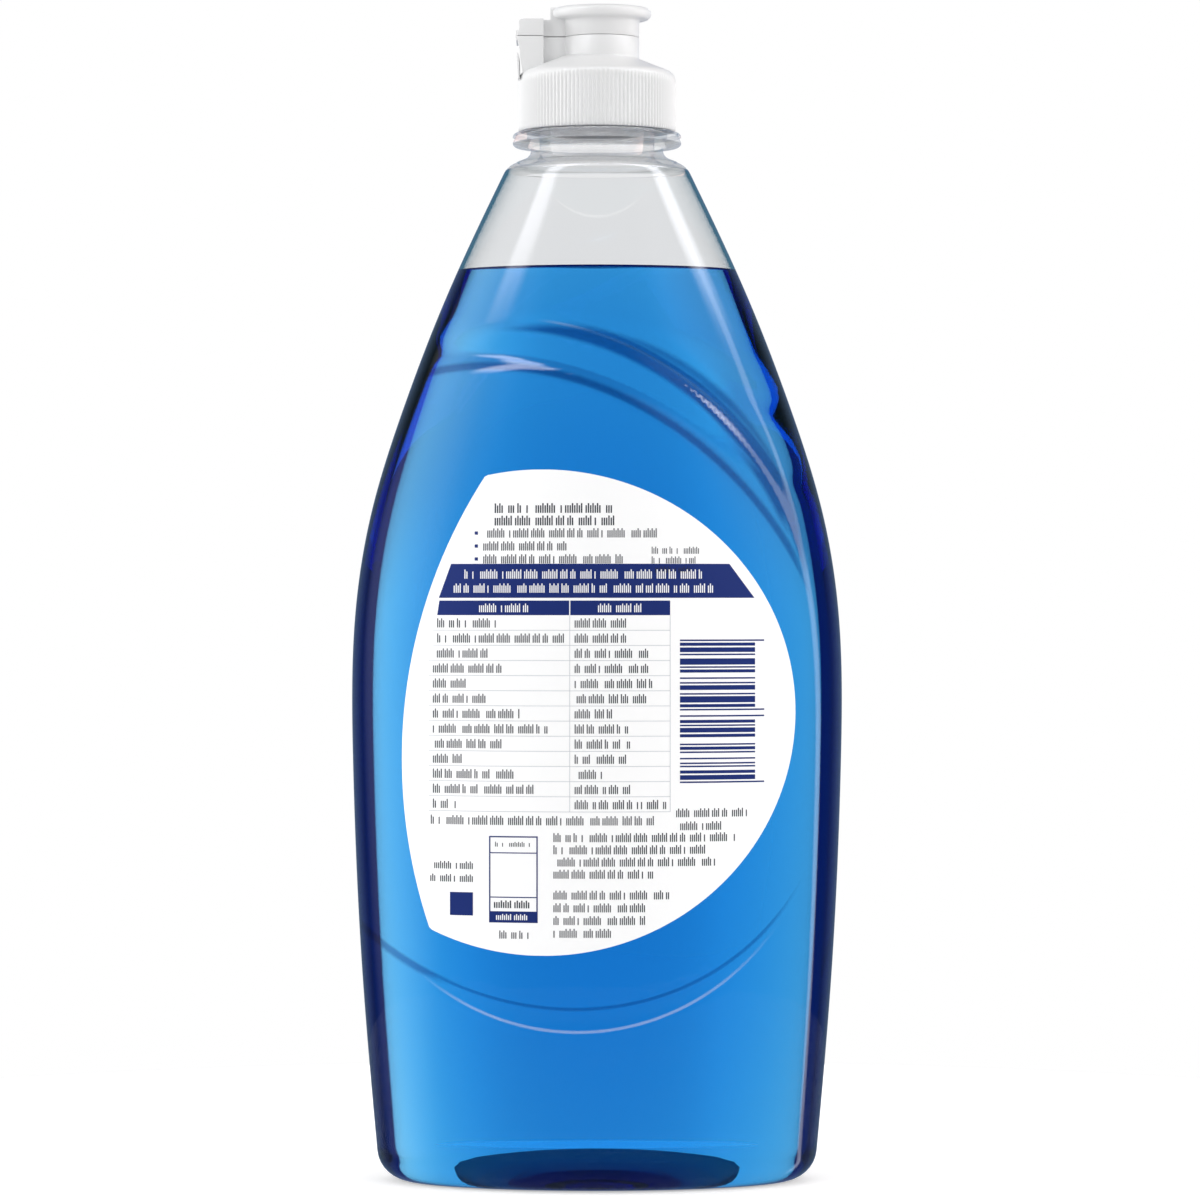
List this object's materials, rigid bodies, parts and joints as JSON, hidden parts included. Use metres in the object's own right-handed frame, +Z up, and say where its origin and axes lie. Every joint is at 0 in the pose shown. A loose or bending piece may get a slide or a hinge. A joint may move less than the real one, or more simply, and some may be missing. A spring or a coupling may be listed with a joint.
{
  "type": "dish soap bottle",
  "caption": "Clear oval blown bottle of blue dish soap with a back label and a ribbed screw-on flip-top closure.",
  "frame": {"origin": "centre of the standing base, on the plane the bottle stands on", "axes": "+Z up along the neck, X across the bottle's width with the lid's hinge on the -X side, -Y out of the labelled back"},
  "size_m": [0.093, 0.0571, 0.2223],
  "materials": {
    "clear_plastic": "clear glossy blown plastic",
    "blue_soap": "clear blue liquid",
    "label_film": "thin white satin film with navy print",
    "closure_plastic": "translucent white moulded plastic, satin"
  },
  "bodies": {
    "bottle": {"bottle": "clear_plastic", "dish_soap": "blue_soap", "back_label": "label_film"},
    "closure": {"closure_base": "closure_plastic"},
    "lid": {"closure_lid": "closure_plastic"}
  },
  "joints": [
    {"name": "closure_lift", "type": "slide", "parent": "bottle", "child": "closure", "axis": [0, 0, 1], "range_m": [0, 0.014]},
    {"name": "lid_hinge", "type": "hinge", "parent": "closure", "child": "lid", "pos_m": [-0.0152, 0, 0.2167], "axis": [0, -1, 0], "range_deg": [0, 135]}
  ]
}
